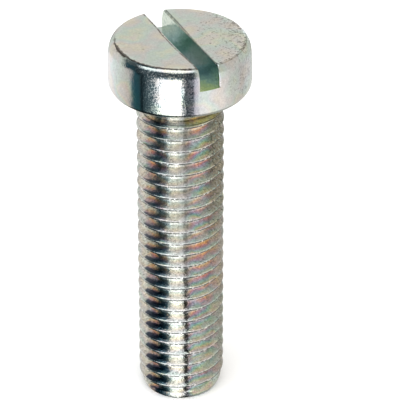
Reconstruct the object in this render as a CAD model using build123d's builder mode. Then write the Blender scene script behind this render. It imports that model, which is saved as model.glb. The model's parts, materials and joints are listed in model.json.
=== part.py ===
from build123d import *
import os

# A slotted cheese head screw, M10 by 40, standing on the flat end of its tip with its head up.
# The origin is the middle of that end face, and the table is at Z = 0.

# Driving dimensions, in millimetres and degrees
thread_d = 9.95
shank_length = 39.1
head_d = 16.0
head_h = 6.0
head_draft = 0.05
crown_across = 0.8
crown_down = 1.9
rim_round = 1.1
neck_fillet = 0.4
slot_w = 2.6
slot_depth = 2.5
slot_turn = 24.4
tip_d = 8.8
tip_taper = 1.7

head_r = head_d / 2
thread_r = thread_d / 2
tip_r = tip_d / 2
crown_r = head_r - head_draft
neck_r = thread_r + neck_fillet
rim_r = head_r - rim_round
flat_r = crown_r - crown_across

neck_z = shank_length - neck_fillet
rim_z = shank_length + rim_round
top_z = shank_length + head_h
crown_z = top_z - crown_down

with BuildPart() as screw:
    # Turned blank: half its outline, radius along X and height along Z
    with BuildSketch(Plane.XZ):
        with BuildLine():
            Polyline((0, top_z), (0, 0), (tip_r, 0), (thread_r, tip_taper), (thread_r, neck_z))
            CenterArc((neck_r, neck_z), neck_fillet, 90, 90)
            Line((neck_r, shank_length), (rim_r, shank_length))
            CenterArc((rim_r, rim_z), rim_round, -90, 90)
            Line((head_r, rim_z), (crown_r, crown_z))
            EllipticalCenterArc((flat_r, crown_z), crown_across, crown_down, 0, arc_size=90)
            Line((flat_r, top_z), (0, top_z))
        make_face()
    revolve(axis=Axis.Z)

    # Screwdriver slot, right across the head
    with BuildSketch(Plane.XY.offset(top_z)):
        Rectangle(slot_w, 2 * head_d, rotation=slot_turn)
    extrude(amount=-slot_depth, mode=Mode.SUBTRACT)

screw.part.label = "cheese_head_screw"

os.makedirs("parts", exist_ok=True)
export_step(screw.part, "parts/cheese_head_screw.step")
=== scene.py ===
import json
import math

import bmesh
import bpy
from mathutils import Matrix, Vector


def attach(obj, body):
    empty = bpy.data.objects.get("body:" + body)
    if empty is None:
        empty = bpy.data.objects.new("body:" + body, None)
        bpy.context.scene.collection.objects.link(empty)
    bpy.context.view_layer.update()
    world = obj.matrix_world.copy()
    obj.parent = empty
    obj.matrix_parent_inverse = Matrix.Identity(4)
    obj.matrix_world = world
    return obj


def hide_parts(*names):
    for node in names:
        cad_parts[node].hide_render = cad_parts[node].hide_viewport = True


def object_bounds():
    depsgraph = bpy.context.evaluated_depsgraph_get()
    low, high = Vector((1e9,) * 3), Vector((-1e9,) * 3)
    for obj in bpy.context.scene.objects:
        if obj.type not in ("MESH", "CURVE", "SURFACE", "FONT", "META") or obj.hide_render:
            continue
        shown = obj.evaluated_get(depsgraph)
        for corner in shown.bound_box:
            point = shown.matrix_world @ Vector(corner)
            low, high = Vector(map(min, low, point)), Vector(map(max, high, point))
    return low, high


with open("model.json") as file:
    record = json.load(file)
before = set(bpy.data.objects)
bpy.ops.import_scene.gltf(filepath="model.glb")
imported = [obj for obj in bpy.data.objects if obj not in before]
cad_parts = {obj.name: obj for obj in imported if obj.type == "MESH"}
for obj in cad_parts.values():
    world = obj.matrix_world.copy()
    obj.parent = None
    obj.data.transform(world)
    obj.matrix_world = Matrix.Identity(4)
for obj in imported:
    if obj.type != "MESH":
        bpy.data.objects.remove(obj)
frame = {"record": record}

# The screw stands on its tip at the origin. Lengths are in millimetres while the metal is shaped,
# and the finished mesh is brought down to metres.

MM = 0.001
cad_low, cad_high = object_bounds()
mounts = {mount["name"]: mount for mount in frame["record"]["mounts"]}

# Sizes that the frame gives
head_r = cad_high.x / MM
top_z = cad_high.z / MM
seat_z = mounts["bearing_face"]["pos_m"][2] / MM
slot_floor_z = mounts["slot"]["pos_m"][2] / MM
thread_r = mounts["shank"]["dims"]["r_mm"]

# Head
head_draft = 0.05
crown_across = 0.8
crown_down = 1.9
flat_r = head_r - head_draft - crown_across
rim_round = 1.1
neck_fillet = 0.4

# Slot: how far each wall is from the middle, and how far its lip is rounded at the back end, along
# the middle and at the front end. The right lip is sharper again at the corner of the flat top.
slot_turn = math.radians(24.4)
slot_across = Vector((math.cos(slot_turn), math.sin(slot_turn), 0))
slot_along = Vector((math.sin(slot_turn), -math.cos(slot_turn), 0))
slot_left = 1.08
slot_right = 1.20
left_lip_back = 0.18
left_lip = 0.32
left_lip_end = 0.10
right_lip_back = 0.26
right_lip = 0.08
right_lip_end = 0.26
right_lip_corner = 7.58

# Thread
pitch = 1.5
crest_wear = 0.04
crest_r = thread_r - crest_wear
thread_depth = 0.90
crest_round = 0.15
thread_start = math.radians(163)
seam_width = 0.13
seam_drop = 0.02
blank_r = 4.5
runout_top = seat_z - 0.5
runout_length = 0.9
tip_r = 4.33
tip_taper = 1.8
tip_edge = 0.10

# How finely round forms are divided, and how close two points are made one
sides = 144
crown_steps = 18
weld = 0.0001


def clear_selection():
    bpy.ops.object.select_all(action="DESELECT")


def make_active(piece):
    clear_selection()
    piece.select_set(True)
    bpy.context.view_layer.objects.active = piece


def new_piece(name, corners, edges, faces):
    mesh = bpy.data.meshes.new(name)
    mesh.from_pydata(corners, edges, faces)
    piece = bpy.data.objects.new(name, mesh)
    bpy.context.scene.collection.objects.link(piece)
    make_active(piece)
    return piece


def outline_piece(name, points):
    """An open outline in the XZ plane: each point is (radius, height)."""
    corners = [(radius, 0.0, height) for radius, height in points]
    return new_piece(name, corners, [(i, i + 1) for i in range(len(corners) - 1)], [])


def face_outward():
    """Turns every face of the piece in edit mode outwards."""
    bpy.ops.mesh.select_all(action="SELECT")
    bpy.ops.mesh.normals_make_consistent(inside=False)


def arc(centre, reach, start, end, steps):
    """Points on a round or elliptical corner; reach is (across, up), and the angles are in degrees."""
    points = []
    for step in range(steps + 1):
        angle = math.radians(start + (end - start) * step / steps)
        points.append((centre[0] + reach[0] * math.cos(angle), centre[1] + reach[1] * math.sin(angle)))
    return points


def turned_head():
    """The head as it leaves the header: flat top, soft crown, straight side and rounded rim."""
    points = [(0.0, top_z), (flat_r * 0.5, top_z), (flat_r - 0.3, top_z)]
    points += arc((flat_r, top_z - crown_down), (crown_across, crown_down), 90, 0, crown_steps)
    points += arc((head_r - rim_round, seat_z + rim_round), (rim_round, rim_round), 0, -90, 10)
    points += arc((blank_r + neck_fillet, seat_z - neck_fillet), (neck_fillet, neck_fillet), 90, 180, 5)
    head = outline_piece("screw_head", points)
    bpy.ops.object.mode_set(mode="EDIT")
    bpy.ops.mesh.select_all(action="SELECT")
    bpy.ops.mesh.spin(steps=sides, angle=math.tau, center=(0, 0, 0), axis=(0, 0, 1))
    bpy.ops.mesh.select_all(action="SELECT")
    bpy.ops.mesh.remove_doubles(threshold=weld)
    face_outward()
    bpy.ops.object.mode_set(mode="OBJECT")
    return head


def thread_turn():
    """One pitch of the thread's outline: rounded crest, 60 degree flanks and narrow flat root."""
    slope = math.tan(math.radians(30))
    half_crest = pitch / 16
    root_r = crest_r - thread_depth
    half_root = pitch / 2 - half_crest - thread_depth * slope
    crest_centre = (crest_r - crest_round, half_crest - crest_round * slope)
    crest = arc(crest_centre, (crest_round, crest_round), 0, 60, 4)
    root = [(root_r, pitch / 2 - half_root), (root_r, pitch / 2)]
    middle = tuple((a + b) / 2 for a, b in zip(crest[-1], root[0]))
    upper = [(crest_r, 0.0)] + crest + [middle] + root
    lower = [(radius, -height) for radius, height in reversed(upper[1:])]
    return lower + upper


def threaded_shank():
    """The thread from just under the head to the tip, cut off flat at both ends."""
    shank = outline_piece("threaded_shank", thread_turn())
    turns_below_tip = 2
    screw = shank.modifiers.new("thread", "SCREW")
    screw.axis = "Z"
    screw.angle = math.tau
    screw.screw_offset = pitch
    screw.iterations = math.ceil(seat_z / pitch) + turns_below_tip + 1
    screw.steps = screw.render_steps = sides
    screw.use_merge_vertices = False
    bpy.ops.object.modifier_apply(modifier=screw.name)
    bpy.ops.object.mode_set(mode="EDIT")
    bpy.ops.mesh.select_all(action="SELECT")
    bpy.ops.mesh.remove_doubles(threshold=weld)
    bpy.ops.transform.rotate(value=-thread_start, orient_axis="Z", center_override=(0, 0, 0))
    bpy.ops.transform.translate(value=(0, 0, -turns_below_tip * pitch))
    bpy.ops.object.mode_set(mode="OBJECT")
    finish_ends(shank)
    bpy.ops.object.mode_set(mode="EDIT")
    for height, low_side in ((0.0, True), (seat_z - neck_fillet, False)):
        bpy.ops.mesh.select_all(action="SELECT")
        bpy.ops.mesh.bisect(
            plane_co=(0, 0, height), plane_no=(0, 0, 1), use_fill=low_side,
            clear_inner=low_side, clear_outer=not low_side,
        )
    face_outward()
    soften_tip_edge(shank)
    bpy.ops.object.mode_set(mode="OBJECT")
    return shank


def soften_tip_edge(shank):
    """Rounds the rim of the flat end, while the shank is in edit mode."""
    bpy.ops.mesh.select_mode(type="EDGE")
    mesh = bmesh.from_edit_mesh(shank.data)
    for edge in mesh.edges:
        edge.select_set(all(abs(vertex.co.z) < 0.001 for vertex in edge.verts))
    bmesh.update_edit_mesh(shank.data)
    bpy.ops.mesh.bevel(offset=tip_edge, segments=3)
    mesh = bmesh.from_edit_mesh(shank.data)
    for vertex in mesh.verts:
        vertex.co.z = max(vertex.co.z, 0.0)
    bmesh.update_edit_mesh(shank.data)


def smooth_step(value):
    value = min(max(value, 0.0), 1.0)
    return value * value * (3 - 2 * value)


def finish_ends(shank):
    """Runs the thread out into the neck and turns its first turns down to the tip's cone."""
    cone_slope = (crest_r - tip_r) / tip_taper
    cone_bottom = -1.0
    blend = 0.08
    for vertex in shank.data.vertices:
        x, y, z = vertex.co
        radius = math.hypot(x, y)
        full = smooth_step((runout_top - z) / runout_length)
        wanted = blank_r + (radius - blank_r) * full
        cone = tip_r + max(z, cone_bottom) * cone_slope
        nearness = max(blend - abs(wanted - cone), 0.0) / blend
        wanted = min(wanted, cone) - nearness * nearness * blend / 4
        vertex.co.x = x * wanted / radius
        vertex.co.y = y * wanted / radius


def lip_round(side, along):
    """How far a long edge of the slot is rounded at a place along it, which counts from the middle
    towards the front; side is -1 for the left edge and 1 for the right."""
    if side < 0:
        back, middle, end = left_lip_back, left_lip, left_lip_end
        back_share = smooth_step((-1.5 - along) / 2)
        end_share = smooth_step((along - 1.5) / 5)
    else:
        back, middle, end = right_lip_back, right_lip, right_lip_end
        back_share = smooth_step((2.5 - along) / 7)
        off_corner = smooth_step((abs(along - right_lip_corner) - 0.12) / 0.12)
        end_share = off_corner * smooth_step((along - 6.8) / 0.4)
    return middle + (back - middle) * back_share + (end - middle) * end_share


def slot_stations():
    """Places on the head's outline from front to back: each is the radius, the share of the way from
    the middle to that radius, the height, and how far the surface tilts from upright to level."""
    crown_z = top_z - crown_down
    top_steps = 24
    front = [(head_r - head_draft, 1.0, slot_floor_z, 0.0)]
    for step in range(crown_steps + 1):
        angle = math.pi / 2 * step / crown_steps
        radius = flat_r + crown_across * math.cos(angle)
        tilt = math.atan2(math.sin(angle) / crown_down, math.cos(angle) / crown_across)
        front.append((radius, 1.0, crown_z + crown_down * math.sin(angle), tilt))
    top = [(flat_r, 1 - 2 * step / top_steps, top_z, math.pi / 2) for step in range(1, top_steps)]
    back = [(radius, -1.0, height, tilt) for radius, share, height, tilt in reversed(front)]
    return front + top + back


def lip_section(wall, lip):
    """A rounded lip from the wall outwards, where the cutter then rises clear of the surface: each
    point is (distance from the middle, depth)."""
    steps = 6
    past_lip = 0.15
    clear_height = 1.0
    section = []
    for step in range(steps + 1):
        angle = math.radians(80) * step / steps
        section.append((wall + lip * (1 - math.cos(angle)), lip * (1 - math.sin(angle))))
    outside = section[-1][0] + past_lip
    return section + [(outside, -0.02), (outside, -clear_height)]


def slot_cutter():
    """A bar across the head that flares out where it meets the surface, which leaves rounded lips."""
    stations = slot_stations()
    corners = []
    rows = {}
    for side, wall in ((-1, slot_left), (1, slot_right)):
        for number, (radius, share, height, tilt) in enumerate(stations):
            lip = lip_round(side, share * math.sqrt(radius * radius - wall * wall))
            row = []
            for off, depth in lip_section(wall, lip):
                reach = share * math.sqrt(radius * radius - off * off)
                reach -= math.copysign(math.cos(tilt), share) * depth
                rise = Vector((0, 0, height - math.sin(tilt) * depth))
                row.append(len(corners))
                corners.append(slot_along * reach + slot_across * side * off + rise)
            rows[side, number] = row
    last = len(stations) - 1
    faces = []
    for number in range(last):
        for side in (-1, 1):
            here, there = rows[side, number], rows[side, number + 1]
            faces += [(here[i], here[i + 1], there[i + 1], there[i]) for i in range(len(here) - 1)]
        around = (rows[1, number], rows[1, number + 1], rows[-1, number + 1], rows[-1, number])
        faces.append([row[-1] for row in around])
    for side in (-1, 1):
        faces.append([rows[side, number][0] for number in range(last + 1)])
    faces.append(rows[1, 0] + rows[-1, 0][::-1] + rows[-1, last] + rows[1, last][::-1])
    cutter = new_piece("slot_cutter", corners, [], faces)
    bpy.ops.object.mode_set(mode="EDIT")
    face_outward()
    bpy.ops.object.mode_set(mode="OBJECT")
    return cutter


def cut_slot(head):
    """Cuts the screwdriver slot, and marks where its lips end so that flat faces stay flat in the light."""
    cutter = slot_cutter()
    flat_enough = 0.9999
    make_active(head)
    cut = head.modifiers.new("slot", "BOOLEAN")
    cut.operation = "DIFFERENCE"
    cut.solver = "EXACT"
    cut.object = cutter
    bpy.ops.object.modifier_apply(modifier=cut.name)
    bpy.data.objects.remove(cutter)
    mesh = bmesh.new()
    mesh.from_mesh(head.data)
    for edge in mesh.edges:
        start, end = (vertex.co for vertex in edge.verts)
        normals = [face.normal for face in edge.link_faces]
        flat = [max(abs(normal.z), abs(normal.dot(slot_across))) > flat_enough for normal in normals]
        runs_along = abs((end - start).normalized().dot(slot_across)) < 0.5
        if runs_along and len(set(flat)) == 2:
            edge.smooth = False
    mesh.to_mesh(head.data)
    mesh.free()


def whole_screw():
    """The slotted head and the threaded shank, joined in one closed mesh and brought to metres."""
    head = turned_head()
    cut_slot(head)
    shank = threaded_shank()
    clear_selection()
    head.select_set(True)
    shank.select_set(True)
    bpy.context.view_layer.objects.active = head
    bpy.ops.object.join()
    bpy.ops.object.mode_set(mode="EDIT")
    bpy.ops.mesh.select_mode(type="EDGE")
    bpy.ops.mesh.select_all(action="DESELECT")
    bpy.ops.mesh.select_non_manifold(extend=False)
    bpy.ops.mesh.bridge_edge_loops()
    face_outward()
    bpy.ops.object.mode_set(mode="OBJECT")
    head.scale = (MM, MM, MM)
    bpy.ops.object.transform_apply(location=False, rotation=False, scale=True)
    head.name = head.data.name = "zinc_plated_screw"
    bpy.ops.object.shade_smooth_by_angle(angle=math.radians(40))
    return head


def wire(tree, socket, value):
    """Fills a socket with a number or colour, or links it to another node's output."""
    if isinstance(value, bpy.types.NodeSocket):
        tree.links.new(value, socket)
    else:
        socket.default_value = value


def maths(tree, operation, *values):
    node = tree.nodes.new("ShaderNodeMath")
    node.operation = operation
    for socket, value in zip(node.inputs, values):
        wire(tree, socket, value)
    return node.outputs[0]


def scaled(tree, value, factor, plus=0.0):
    """The value times the factor, plus what is added."""
    return maths(tree, "MULTIPLY_ADD", value, factor, plus)


def centred(tree, noise):
    """Noise that swings to both sides of zero."""
    return maths(tree, "SUBTRACT", noise, 0.5)


def fade(tree, value, start, end):
    """0 before start and 1 after end, with a smooth change between them."""
    node = tree.nodes.new("ShaderNodeMapRange")
    node.interpolation_type = "SMOOTHSTEP"
    wire(tree, node.inputs["Value"], value)
    node.inputs["From Min"].default_value = start
    node.inputs["From Max"].default_value = end
    return node.outputs["Result"]


def all_of(tree, *masks):
    """The product of several masks."""
    result = masks[0]
    for mask in masks[1:]:
        result = maths(tree, "MULTIPLY", result, mask)
    return result


def within(tree, value, low, high, soft):
    """1 between low and high and 0 outside them, with soft ends."""
    return all_of(tree, fade(tree, value, low - soft, low), fade(tree, value, high + soft, high))


def mix(tree, share, first, second, way="MIX"):
    node = tree.nodes.new("ShaderNodeMix")
    node.data_type = "RGBA"
    node.blend_type = way
    wire(tree, node.inputs["Factor"], share)
    wire(tree, node.inputs["A"], first)
    wire(tree, node.inputs["B"], second)
    return node.outputs["Result"]


def colours(tree, value, stops):
    """A colour for each value from 0 to 1."""
    node = tree.nodes.new("ShaderNodeValToRGB")
    elements = node.color_ramp.elements
    while len(elements) > 1:
        elements.remove(elements[-1])
    for index, (place, colour) in enumerate(stops):
        element = elements[0] if index == 0 else elements.new(place)
        element.position = place
        element.color = (*colour, 1)
    wire(tree, node.inputs[0], value)
    return node.outputs["Color"]


# Colours that the passivation film takes as it gets thicker
film_colours = [
    (0.00, (0.74, 0.78, 0.75)), (0.14, (0.82, 0.76, 0.62)), (0.26, (0.88, 0.60, 0.34)),
    (0.38, (0.74, 0.46, 0.46)), (0.50, (0.58, 0.48, 0.60)), (0.60, (0.42, 0.58, 0.62)),
    (0.70, (0.44, 0.66, 0.54)), (0.80, (0.72, 0.70, 0.38)), (0.90, (0.80, 0.54, 0.50)),
    (1.00, (0.64, 0.56, 0.62)),
]
bare_zinc = (0.745, 0.80, 0.765, 1)
worn_zinc = (0.50, 0.49, 0.45, 1)
dull_zinc = (0.43, 0.41, 0.34, 1)
# Painted highlight on the crest lips and on the head's lower side
painted_highlight_zinc = (0.94, 0.94, 0.92, 1)
# Painted shade in the dark wedges under the crests on the left
painted_shade_navy = (0.03, 0.05, 0.11, 1)
# Painted shade in the dark band to the left of the bright front
painted_shade_green = (0.05, 0.15, 0.20, 1)
# Painted shade in fine dark grains over the head's reflections
shade_grain_colour = (0.04, 0.09, 0.11, 1)
olive_film = (0.62, 0.56, 0.22, 1)
# Dark pits and crest seams, and painted shade in the dark column and the neck lines
dirt_and_shade = (0.06, 0.07, 0.06, 1)
# Dirt and specks on the head, and painted shade along the top's edge, beside the slot's left lip and at the
# wall's back end
dirt_and_edge_shade = (0.10, 0.08, 0.07, 1)
# Painted shade along the slot's right land
land_shade = (0.09, 0.13, 0.11, 1)

# Colours of the slot's floor, from its back end to its front end: green film with painted shade and
# reflections in its dark and light bands; the walls mirror it
slot_wall = (0.66, 0.74, 0.64, 1)
slot_stain = (0.48, 0.58, 0.50, 1)
slot_floor = [
    (0.00, (0.60, 0.70, 0.68)), (0.10, (0.52, 0.64, 0.68)), (0.19, (0.36, 0.52, 0.60)),
    (0.26, (0.19, 0.34, 0.37)), (0.32, (0.07, 0.19, 0.19)), (0.38, (0.10, 0.22, 0.24)),
    (0.45, (0.20, 0.29, 0.34)), (0.60, (0.21, 0.28, 0.33)), (0.66, (0.12, 0.24, 0.30)),
    (0.72, (0.04, 0.13, 0.17)), (0.79, (0.10, 0.22, 0.26)), (0.87, (0.24, 0.40, 0.38)),
    (1.00, (0.46, 0.58, 0.30)),
]

# Dark lines of painted shade on the neck, for the ridges where the thread runs out: how far below the head,
# and half the width
neck_shade_lines = [(1.57, 0.06), (1.88, 0.02), (2.1, 0.03), (2.4, 0.02)]


class Surface:
    """The places on the screw that its finish is drawn by, in millimetres and degrees."""

    def __init__(self, tree):
        self.tree = tree
        self.place = tree.nodes.new("ShaderNodeTexCoord").outputs["Object"]
        split = tree.nodes.new("ShaderNodeSeparateXYZ")
        wire(tree, split.inputs[0], self.place)
        self.x, self.y, self.z = (scaled(tree, part, 1 / MM) for part in split.outputs)
        self.radius = maths(tree, "SQRT", scaled(tree, self.x, self.x, scaled(tree, self.y, self.y)))
        self.inset = maths(tree, "SUBTRACT", crest_r, self.radius)
        self.turn = maths(tree, "DEGREES", maths(tree, "ARCTAN2", self.x, scaled(tree, self.y, -1)))
        self.across = scaled(tree, self.x, slot_across.x, scaled(tree, self.y, slot_across.y))
        self.along = scaled(tree, self.x, slot_along.x, scaled(tree, self.y, slot_along.y))
        self.on_thread = fade(tree, self.z, seat_z + 0.1, seat_z - 0.1)
        self.on_head = maths(tree, "SUBTRACT", 1, self.on_thread)
        self.on_top = fade(tree, self.z, top_z - 0.12, top_z - 0.04)
        self.upper = fade(tree, self.z, 10, 26)
        self.ragged = self.grain(0.28, 3.0, 0.8, offset=(0.2, 0.5, 0))
        self.dull_side = all_of(
            tree, fade(tree, self.x, 2.9, 3.8), fade(tree, self.y, 0.5, -0.5),
            fade(tree, self.z, 16, 28), self.on_thread,
        )

    def grain(self, size, detail=2.0, harshness=0.5, offset=(0, 0, 0), stretch=(1, 1, 1)):
        """Noise with patches about as large as size, in millimetres."""
        shift = self.tree.nodes.new("ShaderNodeMapping")
        shift.inputs["Location"].default_value = offset
        shift.inputs["Scale"].default_value = stretch
        wire(self.tree, shift.inputs["Vector"], self.place)
        node = self.tree.nodes.new("ShaderNodeTexNoise")
        wire(self.tree, node.inputs["Vector"], shift.outputs["Vector"])
        node.inputs["Scale"].default_value = 1 / (size * MM)
        node.inputs["Detail"].default_value = detail
        node.inputs["Roughness"].default_value = harshness
        return node.outputs["Fac"]

    def spots(self, size, low, high, detail=2.0, harshness=0.5, offset=(0, 0, 0)):
        """1 where noise of this size is over high, and 0 where it is under low."""
        return fade(self.tree, self.grain(size, detail, harshness, offset), low, high)


def film_tint(tree, at):
    """The film's colour: it thickens from root to crest, and is strongest on the thread's two sides."""
    left = all_of(tree, within(tree, at.turn, -56, -24, 5), at.on_thread)
    right = all_of(tree, fade(tree, at.x, 0.2, 1.6), fade(tree, at.x, 5.2, 3.4), at.on_thread)
    near_tip = fade(tree, at.z, 14, 8)

    thread_patches = at.grain(2.6, 4.0, 0.60, stretch=(0.7, 0.7, 1.3))
    head_patches = at.grain(4.2, 3.0, 0.45, offset=(0.2, 0.7, 0))
    patches = maths(
        tree, "ADD", all_of(tree, thread_patches, at.on_thread), all_of(tree, head_patches, at.on_head),
    )
    spread = scaled(tree, at.on_head, 0.7, 1.5)
    base = scaled(tree, at.on_head, 0.50, 0.09)
    patches = scaled(tree, centred(tree, patches), spread, base)
    crestward = scaled(tree, at.inset, -0.44 / thread_depth, 0.44)
    sideward = scaled(tree, right, 0.24, scaled(tree, left, 0.10))
    sideward = scaled(tree, all_of(tree, near_tip, right), 0.16, sideward)
    on_turns = all_of(tree, maths(tree, "ADD", sideward, crestward), at.on_thread)
    tint = colours(tree, maths(tree, "ADD", patches, on_turns), film_colours)

    strength = scaled(tree, maths(tree, "MAXIMUM", left, right), 0.56, 0.14)
    fitful = at.grain(1.2, offset=(0, 0.2, 0), stretch=(0.7, 0.7, 1.4))
    strength = all_of(
        tree, strength, scaled(tree, fade(tree, fitful, 0.30, 0.62), 0.75, 0.35),
        scaled(tree, near_tip, -0.20, 1),
    )
    depth = scaled(tree, strength, at.on_thread, scaled(tree, at.on_head, 0.10, 0.17))
    return mix(tree, depth, bare_zinc, tint)


def worn_flanks(tree, at, colour):
    """The flanks, rubbed duller than the crests and the roots."""
    worn = all_of(tree, fade(tree, at.inset, 0.75, 0.25), fade(tree, at.inset, 0.03, 0.12), at.on_thread)
    return mix(tree, scaled(tree, worn, 0.20), colour, worn_zinc)


def painted_shade_wedges(tree, at, colour):
    """Painted shade: on the left, the dark wedge under each crest, which widens towards the front."""
    low_left = all_of(tree, fade(tree, at.turn, -43, -51), fade(tree, at.z, 28, 18))
    reach = scaled(tree, at.turn, -0.012, at.inset)
    reach = scaled(tree, at.upper, 0.20, reach)
    reach = scaled(tree, low_left, -0.13, reach)
    reach = scaled(tree, at.grain(0.5, 3.0, 0.7, offset=(0.2, 0, 0)), 0.40, reach)
    wedge = all_of(
        tree, fade(tree, reach, 1.30, 1.16), fade(tree, at.inset, 0.02, 0.07),
        within(tree, at.turn, -56.5, -30, 3), at.on_thread, scaled(tree, at.upper, -0.2, 0.88),
    )
    return mix(tree, wedge, colour, painted_shade_navy)


def painted_shade_band(tree, at, colour):
    """Painted shade: the ragged dark band to the left of the bright front, with gaps on the upper thread.
    """
    side = scaled(tree, at.ragged, 34, scaled(tree, at.upper, 6, at.turn))
    gaps = scaled(tree, at.spots(1.1, 0.34, 0.56, offset=(0.5, 0.5, 0)), -0.5, 0.75)
    band = all_of(
        tree, fade(tree, side, -21, -17), fade(tree, scaled(tree, at.upper, -7, side), 0, -6),
        fade(tree, at.inset, 0.07, 0.12), fade(tree, at.z, seat_z, seat_z - 1.5),
        scaled(tree, all_of(tree, at.upper, gaps), -1, 0.85),
    )
    return mix(tree, band, colour, painted_shade_green)


def dull_metal(tree, at, colour):
    """The rough dull metal round the right side, and the greyed front of the upper thread."""
    rough = at.spots(0.26, 0.36, 0.52, 3.0, 0.7, offset=(0, 0.3, 0.1))
    colour = mix(tree, all_of(tree, at.dull_side, rough), colour, dull_zinc)
    far_side = all_of(
        tree, fade(tree, at.x, 4.0, 4.8), fade(tree, at.y, 0.5, -0.5), fade(tree, at.z, 24, 12),
        at.on_thread,
    )
    colour = mix(tree, scaled(tree, far_side, 0.62), colour, dull_zinc)
    greyed = all_of(tree, within(tree, at.turn, -14, -3, 3), at.upper, at.on_thread)
    return mix(tree, scaled(tree, greyed, 0.36), colour, dull_zinc)


def painted_shade_column(tree, at, colour):
    """Painted shade: the speckled dark column to the right of the bright front, fainter on the upper
    thread.
    """
    turn = scaled(tree, centred(tree, at.ragged), 16, at.turn)
    column = all_of(
        tree, within(tree, turn, 6, 10.5, 1.5), scaled(tree, at.upper, -0.58, 0.90),
        at.spots(0.30, 0.40, 0.52, 3.0, 0.7, offset=(0, 0, 0.9)), at.on_thread,
    )
    return mix(tree, column, colour, dirt_and_shade)


def pits(tree, at, colour):
    """Small dark pits, stronger on the dull side."""
    pitted = at.spots(0.24, 0.57, 0.66, 1.5, 0.6, offset=(0.3, 0.1, 0))
    strength = scaled(tree, at.dull_side, 0.45, 0.38)
    return mix(tree, all_of(tree, pitted, strength, at.on_thread), colour, dirt_and_shade)


def painted_crest_highlights(tree, at, colour):
    """Painted highlight: the bright broken edges of the crests."""
    lips = all_of(
        tree, fade(tree, at.inset, 0.08, 0.04), fade(tree, at.ragged, 0.36, 0.46),
        fade(tree, at.x, 4.2, 3.0), at.on_thread,
    )
    return mix(tree, scaled(tree, lips, 0.75), colour, painted_highlight_zinc)


def crest_seam(tree, at, colour):
    """The broken line along the crest where the rolled metal closed."""
    climb = scaled(tree, at.turn, -1 / 360, (thread_start + math.pi / 2) / math.tau)
    turns = scaled(tree, at.z, 1 / pitch, climb)
    phase = maths(tree, "FRACT", maths(tree, "ADD", turns, 0.5))
    off_line = maths(tree, "ABSOLUTE", scaled(tree, phase, pitch, -pitch / 2 + seam_drop))
    seam = all_of(
        tree, fade(tree, off_line, seam_width * 0.7, seam_width * 0.3),
        at.spots(0.32, 0.38, 0.47, 2.0, 0.6, offset=(0, 0, 0.3)), fade(tree, at.inset, 0.12, 0.06),
        fade(tree, at.z, seat_z - 0.3, seat_z - 0.5),
    )
    return mix(tree, scaled(tree, seam, 0.95), colour, dirt_and_shade)


def neck_marks(tree, at, colour):
    """The olive film on the neck, and its fine dark lines of painted shade for the thread's run-out ridges.
    """
    olive = all_of(tree, within(tree, at.z, seat_z - 2.2, seat_z, 0.3), within(tree, at.turn, 12, 60, 8))
    blotches = scaled(tree, at.spots(0.9, 0.35, 0.60, 3.0, 0.6, offset=(0.6, 0, 0)), 0.6, 0.15)
    colour = mix(tree, all_of(tree, olive, blotches), colour, olive_film)
    climb = scaled(tree, at.turn, -0.6 / 360, at.z)
    patchy = at.spots(0.6, 0.30, 0.60, offset=(0, 0.6, 0))
    # Painted shade: dark lines for the thread's run-out ridges
    for below_head, half_width in neck_shade_lines:
        height = seat_z - below_head
        line = within(tree, climb, height - half_width, height + half_width, 0.03)
        colour = mix(tree, scaled(tree, all_of(tree, line, patchy), 0.75), colour, dirt_and_shade)
    return colour


def top_edge_shade_and_stain(tree, at, front):
    """A dark line of painted shade along the edge of the flat top, widened on the left by a brown stain:
    wide and frayed on the left, thin and broken on the right.
    """
    wander = at.grain(0.7, 3.0, 0.7, offset=(0.4, 0, 0))
    off_edge = scaled(tree, wander, 0.5, maths(tree, "SUBTRACT", at.radius, flat_r + 0.25))
    stain = scaled(tree, within(tree, at.turn, -72, -56, 8), 0.10)
    fray = centred(tree, at.grain(0.26, 2.0, 0.6, offset=(0.9, 0.4, 0)))
    wide = maths(tree, "SUBTRACT", maths(tree, "ABSOLUTE", off_edge), stain)
    wide = scaled(tree, fray, 0.5, wide)
    left = all_of(tree, fade(tree, wide, 0.15, 0.08), fade(tree, at.x, 1.6, 1.2), front)
    broken = at.spots(0.30, 0.47, 0.53, 2.0, 0.6, offset=(0, 0.4, 0))
    thin = within(tree, off_edge, -0.03, 0.03, 0.05)
    right = all_of(tree, thin, fade(tree, at.x, 1.2, 1.6), broken, front)
    return maths(tree, "MAXIMUM", left, right)


def painted_shade_grains(tree, at, front):
    """Painted shade: fine dark grains that break up the dark and bright reflections on the head's front and
    on its crown.
    """
    grains = at.grain(0.13, 2.0, 0.7, offset=(0, 0.7, 0))
    denser_leftward = scaled(tree, at.x, -0.13, grains)
    left = all_of(tree, fade(tree, denser_leftward, 0.83, 0.87), within(tree, at.x, -4.1, -1.4, 0.3))
    right = all_of(tree, within(tree, at.x, 0.35, 1.45, 0.25), fade(tree, grains, 0.48, 0.54))
    below_crown = fade(tree, at.z, top_z - 0.5, top_z - 0.9)
    on_side = all_of(tree, maths(tree, "MAXIMUM", left, right), below_crown)
    crown_line = top_z - 0.36
    on_crown = all_of(
        tree, within(tree, at.x, -4.5, 1.5, 0.5), within(tree, at.z, crown_line - 0.5, crown_line, 0.25),
        fade(tree, grains, 0.40, 0.46),
    )
    return all_of(tree, maths(tree, "MAXIMUM", on_side, on_crown), at.on_head, front)


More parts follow.
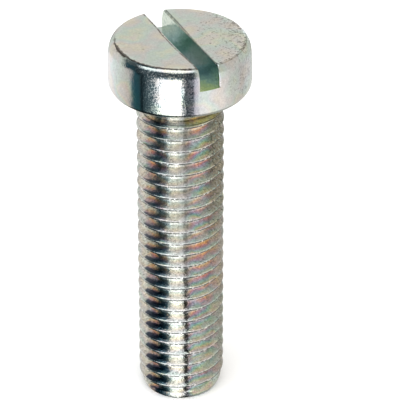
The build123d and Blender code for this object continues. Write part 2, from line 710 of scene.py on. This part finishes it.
def head_marks(tree, at, colour):
    """A painted highlight that lightens the lower side in patches, the dirt and specks on the top and the
    side, painted shade along the top's edge, and fine grains of painted shade.
    """
    front = fade(tree, at.y, 1.0, -1.0)
    # Painted highlight: the lower side lightened in patches
    painted_lighter_side = all_of(
        tree, at.on_head, fade(tree, at.x, 1.0, 1.6), fade(tree, at.z, top_z - 2.0, top_z - 4.0),
        at.spots(1.1, 0.30, 0.60, offset=(0, 0.5, 0)),
    )
    colour = mix(tree, scaled(tree, painted_lighter_side, 0.2), colour, painted_highlight_zinc)

    scratches = at.grain(0.30, 2.5, 0.65, offset=(0.1, 0.4, 0))
    scratches = scaled(tree, scaled(tree, at.y, 0.2, at.x), 0.022, scratches)
    rough_patch = all_of(tree, fade(tree, at.x, 1.4, 2.4), at.on_top, fade(tree, scratches, 0.65, 0.73))
    specks = all_of(tree, at.spots(0.45, 0.80, 0.84, 0.0, offset=(0.5, 0, 0)), at.on_top)
    # Painted shade along the top's edge, with the rough patch and the specks
    marks = maths(tree, "MAXIMUM", top_edge_shade_and_stain(tree, at, front), scaled(tree, rough_patch, 0.5))
    marks = maths(tree, "MAXIMUM", marks, scaled(tree, specks, 0.6))
    marks = all_of(tree, marks, fade(tree, at.z, top_z - 1.2, top_z - 0.8))
    colour = mix(tree, scaled(tree, marks, 0.85), colour, dirt_and_edge_shade)

    side_specks = all_of(
        tree, fade(tree, at.x, 4.4, 6.6), fade(tree, scratches, 0.66, 0.74),
        fade(tree, at.z, seat_z + 0.4, seat_z + 2),
    )
    colour = mix(tree, scaled(tree, side_specks, 0.35), colour, dirt_and_edge_shade)
    # Painted shade: dark grains over the reflections
    return mix(tree, scaled(tree, painted_shade_grains(tree, at, front), 0.92), colour, shade_grain_colour)


def slot_tint(tree, at, colour):
    """The green film on the walls and the floor of the slot, with painted shade and reflections in the
    floor's colours, and painted shade along its edges.
    """
    inside = all_of(
        tree, within(tree, at.across, -slot_left - 0.01, slot_right + 0.01, 0.05),
        fade(tree, at.z, slot_floor_z - 0.03, slot_floor_z - 0.01),
        fade(tree, at.z, top_z - 0.1, top_z - 0.3),
    )
    brushed = at.grain(0.35, 3.0, 0.7, offset=(0.4, 0, 0.6), stretch=(1, 0.5, 1))
    walls = mix(tree, fade(tree, brushed, 0.46, 0.62), slot_wall, slot_stain)
    colour = mix(tree, inside, colour, walls)

    drift = scaled(tree, at.across, -0.8, maths(tree, "SUBTRACT", at.along, 0.9))
    drift = scaled(tree, at.grain(0.8, 3.0, 0.65, offset=(0, 0, 0.6)), 3.0, drift)
    drift = scaled(tree, centred(tree, brushed), 1.6, drift)
    from_back = scaled(tree, drift, 0.5 / head_r, 0.5)
    on_floor = all_of(tree, inside, fade(tree, at.z, slot_floor_z + 0.03, slot_floor_z + 0.01))
    # The floor's colours hold painted shade and reflections along the slot
    colour = mix(tree, on_floor, colour, colours(tree, from_back, slot_floor))
    return slot_edge_shade(tree, at, colour, inside)


def slot_edge_shade(tree, at, colour, inside):
    """Painted shade: the dark line along the left lip, the shade along the right land, and the dark line at
    the wall's back end.
    """
    lip_end = scaled(tree, fade(tree, at.along, 1.5, 6.5), left_lip - left_lip_end, -slot_left - left_lip)
    lip_end = scaled(tree, fade(tree, at.along, -1.5, -3.5), left_lip - left_lip_back, lip_end)
    off_line = maths(tree, "ABSOLUTE", maths(tree, "SUBTRACT", at.across, lip_end))
    worn = at.spots(0.5, 0.30, 0.55, 3.0, 0.7, offset=(0.8, 0, 0))
    # Painted shade: a broken dark line just outside the left lip
    line = all_of(tree, fade(tree, off_line, 0.15, 0.06), at.on_top, worn)
    colour = mix(tree, scaled(tree, line, 0.85), colour, dirt_and_edge_shade)

    wider_at_back = 0.14
    border = scaled(tree, fade(tree, at.along, 2.5, -4.5), -wider_at_back, at.across)
    border = scaled(tree, centred(tree, worn), 0.16, border)
    shade = all_of(
        tree, within(tree, border, slot_right - 0.3, slot_right + 0.06, 0.16),
        fade(tree, at.z, top_z - 0.5, top_z - 0.2), maths(tree, "SUBTRACT", 1, inside),
        scaled(tree, worn, 0.4, 0.2),
    )
    colour = mix(tree, shade, colour, land_shade)

    # Painted shade: a dark line at the back end of the right wall
    back_line = all_of(
        tree, inside, within(tree, at.along, -8.1, -7.78, 0.06), worn,
        fade(tree, at.z, slot_floor_z, top_z - 1.6),
    )
    return mix(tree, scaled(tree, back_line, 0.8), colour, dirt_and_edge_shade)


def mottled(tree, at, colour):
    """Small light and dark spots, stronger on the thread than on the head."""
    small = at.grain(0.24, 3.0, 0.75, offset=(0.1, 0, 0))
    wide = at.grain(0.9, offset=(0, 0.1, 0))
    level = all_of(tree, centred(tree, small), scaled(tree, at.on_thread, 0.95, 0.55))
    level = maths(tree, "ADD", level, scaled(tree, wide, 0.16, 0.93))
    shade = tree.nodes.new("ShaderNodeCombineColor")
    for socket in shade.inputs[:3]:
        wire(tree, socket, level)
    return mix(tree, 1.0, colour, shade.outputs[0], "MULTIPLY")


def plating_roughness(tree, at):
    """Mirror bright on the head's side, a little duller on its flat top, and satin up the thread."""
    polish = scaled(tree, at.grain(0.9, 3.0, 0.6), 0.10, 0.01)
    roughness = scaled(tree, at.on_thread, 0.03, polish)
    satin = all_of(tree, at.on_thread, fade(tree, at.z, 8, 22))
    roughness = scaled(tree, satin, 0.14, roughness)
    smeared = all_of(tree, within(tree, at.turn, 4, 12, 12), at.on_thread, fade(tree, at.z, 12, 24))
    roughness = scaled(tree, smeared, 0.20, roughness)
    flat_top = all_of(
        tree, fade(tree, at.z, top_z - 0.02, top_z - 0.005),
        fade(tree, at.radius, flat_r - 0.1, flat_r - 0.6),
    )
    return scaled(tree, flat_top, 0.18, roughness)


def plating_relief(tree, at):
    """Long shallow waves in the metal, with fine pitting over them."""
    waves = tree.nodes.new("ShaderNodeBump")
    waves.inputs["Distance"].default_value = 0.012 * MM
    wire(tree, waves.inputs["Height"], at.grain(0.8, 1.0))
    pitting = tree.nodes.new("ShaderNodeBump")
    pitting.inputs["Distance"].default_value = 0.022 * MM
    crown = within(tree, at.z, top_z - 1.3, top_z - 0.15, 0.1)
    strength = scaled(tree, crown, 0.15, scaled(tree, at.on_thread, 0.45, 0.40))
    wire(tree, pitting.inputs["Strength"], strength)
    wire(tree, pitting.inputs["Height"], at.grain(0.15, 1.5, 0.6))
    wire(tree, pitting.inputs["Normal"], waves.outputs["Normal"])
    return pitting.outputs["Normal"]


def zinc_plating():
    """The whole finish: the tinted film first, then each kind of mark over what is under it."""
    material = bpy.data.materials.new("zinc_plating")
    material.use_nodes = True
    tree = material.node_tree
    shader = tree.nodes["Principled BSDF"]
    shader.inputs["Metallic"].default_value = 1.0
    at = Surface(tree)
    thread_marks = (
        worn_flanks, painted_shade_wedges, painted_shade_band, dull_metal, painted_shade_column, pits, painted_crest_highlights, crest_seam,
    )
    colour = film_tint(tree, at)
    for marks in (*thread_marks, neck_marks, head_marks, slot_tint, mottled):
        colour = marks(tree, at, colour)
    wire(tree, shader.inputs["Base Color"], colour)
    wire(tree, shader.inputs["Roughness"], plating_roughness(tree, at))
    wire(tree, shader.inputs["Normal"], plating_relief(tree, at))
    return material


def pale_floor():
    bpy.ops.mesh.primitive_plane_add(size=4.0, location=(0, 0, -0.02 * MM))
    floor = bpy.context.active_object
    floor.name = "pale_floor"
    material = bpy.data.materials.new("pale_floor")
    material.use_nodes = True
    shader = material.node_tree.nodes["Principled BSDF"]
    shader.inputs["Base Color"].default_value = (0.92, 0.92, 0.92, 1)
    shader.inputs["Roughness"].default_value = 0.9
    floor.data.materials.append(material)
    floor.visible_glossy = False


# Camera, as the photograph's: its tilt below the horizon, its place from the middle of the head's top
camera_tilt = math.radians(30.93)
camera_side = 2.221
camera_rise = 17.753
camera_far = 304.38
camera_lens = 249.07


def place_camera():
    ahead = Vector((0, math.cos(camera_tilt), -math.sin(camera_tilt)))
    down = Vector((0, -math.sin(camera_tilt), -math.cos(camera_tilt)))
    head_top = Vector((0, 0, top_z))
    place = head_top + Vector((camera_side, 0, 0)) + down * camera_rise - ahead * camera_far
    data = bpy.data.cameras.new("camera")
    data.lens = camera_lens
    data.sensor_width = 36
    data.clip_start = 0.01
    camera = bpy.data.objects.new("camera", data)
    camera.location = place * MM
    camera.rotation_euler = (math.pi / 2 - camera_tilt, 0, 0)
    bpy.context.scene.collection.objects.link(camera)
    bpy.context.scene.camera = camera


# Light that the metal sees, by the direction that a surface faces as the photograph shows it: the first
# number is the angle round the screw from the camera's side, in degrees, and each list is for one tilt.
side_light = [
    (-180, (0.50, 0.50, 0.50)), (-75, (1.05, 1.05, 1.05)), (-60, (0.84, 0.82, 0.80)),
    (-48, (0.70, 0.63, 0.58)), (-43.5, (0.50, 0.50, 0.48)), (-41.5, (0.04, 0.11, 0.14)),
    (-36, (0.02, 0.07, 0.09)), (-31.5, (0.03, 0.06, 0.07)), (-29, (0.40, 0.44, 0.45)),
    (-22, (0.60, 0.64, 0.65)), (-18, (1.3, 1.3, 1.3)), (-15.5, (1.8, 1.8, 1.8)),
    (1.5, (2.0, 2.0, 2.0)), (3.5, (0.23, 0.24, 0.25)), (10, (0.19, 0.19, 0.22)),
    (12.5, (0.68, 0.65, 0.74)), (18, (1.03, 1.00, 1.00)), (30, (1.00, 0.97, 0.93)),
    (36, (0.96, 0.91, 0.86)), (46, (0.75, 0.70, 0.65)), (62, (0.62, 0.60, 0.57)),
    (70, (0.74, 0.74, 0.72)), (180, (0.50, 0.50, 0.50)),
]
crown_light = [
    (-180, (0.12, 0.12, 0.12)), (-110, (0.14, 0.14, 0.14)), (-90, (0.75, 0.75, 0.72)),
    (-60, (0.80, 0.78, 0.74)), (-54, (0.60, 0.58, 0.54)), (-51, (0.03, 0.07, 0.09)),
    (-38, (0.02, 0.05, 0.06)), (-32, (0.34, 0.37, 0.38)), (5, (0.34, 0.35, 0.36)),
    (9, (0.12, 0.12, 0.13)), (13, (0.66, 0.63, 0.59)), (60, (0.70, 0.68, 0.62)),
    (90, (0.66, 0.65, 0.60)), (105, (0.14, 0.14, 0.14)), (180, (0.12, 0.12, 0.12)),
]
shoulder_light = [
    (-180, (0.30, 0.30, 0.30)), (-110, (0.30, 0.30, 0.30)), (-90, (0.75, 0.75, 0.72)),
    (-58, (0.70, 0.68, 0.62)), (-52, (0.10, 0.12, 0.12)), (-37, (0.05, 0.08, 0.09)),
    (-34, (1.5, 1.5, 1.5)), (10, (1.5, 1.5, 1.5)), (14, (0.66, 0.63, 0.59)),
    (90, (0.66, 0.65, 0.60)), (105, (1.0, 1.0, 1.0)), (125, (1.0, 1.0, 1.0)),
    (140, (0.30, 0.30, 0.30)), (180, (0.30, 0.30, 0.30)),
]
flank_light = [
    (-180, (0.70, 0.68, 0.63)), (-100, (0.70, 0.68, 0.63)), (-75, (0.90, 0.86, 0.80)),
    (-58, (0.60, 0.57, 0.50)), (-52, (0.20, 0.21, 0.20)), (-40, (0.04, 0.08, 0.10)),
    (-24, (0.12, 0.16, 0.17)), (-17, (1.3, 1.3, 1.28)), (1, (1.3, 1.3, 1.28)),
    (4, (0.26, 0.26, 0.25)), (9, (0.24, 0.24, 0.23)), (14, (0.60, 0.57, 0.50)),
    (40, (0.52, 0.47, 0.40)), (75, (0.44, 0.42, 0.36)), (102, (0.30, 0.30, 0.30)),
    (106, (1.2, 1.2, 1.2)), (124, (1.2, 1.2, 1.2)), (134, (0.70, 0.68, 0.63)),
    (180, (0.70, 0.68, 0.63)),
]
edge_light = [
    (-180, (0.72, 0.70, 0.64)), (-95, (0.66, 0.65, 0.60)), (-75, (0.12, 0.13, 0.12)),
    (12, (0.08, 0.10, 0.10)), (16, (0.55, 0.54, 0.50)), (80, (0.62, 0.62, 0.56)),
    (98, (0.62, 0.62, 0.56)), (106, (1.1, 1.1, 1.1)), (124, (1.1, 1.1, 1.1)),
    (134, (0.72, 0.70, 0.64)), (180, (0.72, 0.70, 0.64)),
]
under_light = [
    (-180, (0.45, 0.45, 0.45)), (-70, (0.60, 0.58, 0.54)), (-50, (0.40, 0.40, 0.36)),
    (-44, (0.02, 0.03, 0.03)), (11, (0.02, 0.03, 0.03)), (16, (0.36, 0.35, 0.32)),
    (70, (0.60, 0.58, 0.54)), (180, (0.45, 0.45, 0.45)),
]
top_light = (0.77, 0.75, 0.69, 1)

# The rise, in degrees, over which each light takes over from the side light or the one before it
light_zones = [
    (under_light, -20, -24), (crown_light, 16, 20), (shoulder_light, 33, 37),
    (flank_light, 53, 56), (edge_light, 66, 70),
]

# A wide soft light that the floor sees and the metal doesn't
fill_place = (-0.1, -0.3, 1.2)
fill_width = 2.4
fill_watts = 26


def facing_direction(tree):
    """The way a surface faces that reflects this part of the studio into the camera."""
    direction = tree.nodes.new("ShaderNodeTexCoord")
    lean = tree.nodes.new("ShaderNodeVectorMath")
    lean.operation = "ADD"
    lean.inputs[1].default_value = (0, -math.cos(camera_tilt), math.sin(camera_tilt))
    tree.links.new(direction.outputs["Generated"], lean.inputs[0])
    unit = tree.nodes.new("ShaderNodeVectorMath")
    unit.operation = "NORMALIZE"
    tree.links.new(lean.outputs["Vector"], unit.inputs[0])
    split = tree.nodes.new("ShaderNodeSeparateXYZ")
    tree.links.new(unit.outputs["Vector"], split.inputs[0])
    return split.outputs


def studio_light():
    world = bpy.data.worlds.new("studio")
    bpy.context.scene.world = world
    world.use_nodes = True
    tree = world.node_tree
    tree.nodes.clear()
    x, y, z = facing_direction(tree)
    turn = maths(tree, "ARCTAN2", x, scaled(tree, y, -1))
    share = scaled(tree, turn, 1 / math.tau, 0.5)
    rise = maths(tree, "DEGREES", maths(tree, "ARCSINE", z))

    def round_the_screw(light):
        return colours(tree, share, [(angle / 360 + 0.5, tone) for angle, tone in light])

    tone = round_the_screw(side_light)
    for light, start, end in light_zones:
        tone = mix(tree, fade(tree, rise, start, end), tone, round_the_screw(light))
    tone = mix(tree, fade(tree, rise, 81, 84), tone, top_light)
    glow = tree.nodes.new("ShaderNodeBackground")
    tree.links.new(tone, glow.inputs["Color"])
    out = tree.nodes.new("ShaderNodeOutputWorld")
    tree.links.new(glow.outputs["Background"], out.inputs["Surface"])


def fill_light():
    bpy.ops.object.light_add(type="AREA", location=fill_place)
    fill = bpy.context.active_object
    fill.data.shape = "DISK"
    fill.data.size = fill_width
    fill.data.energy = fill_watts
    fill.visible_glossy = False
    aim = Vector((0, 0, 0)) - fill.location
    fill.rotation_euler = aim.to_track_quat("-Z", "Y").to_euler()


screw = whole_screw()
screw.data.materials.clear()
screw.data.materials.append(zinc_plating())
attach(screw, "root")
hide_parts("cheese_head_screw")
pale_floor()
place_camera()
studio_light()
fill_light()
bpy.context.scene.view_settings.view_transform = "Standard"
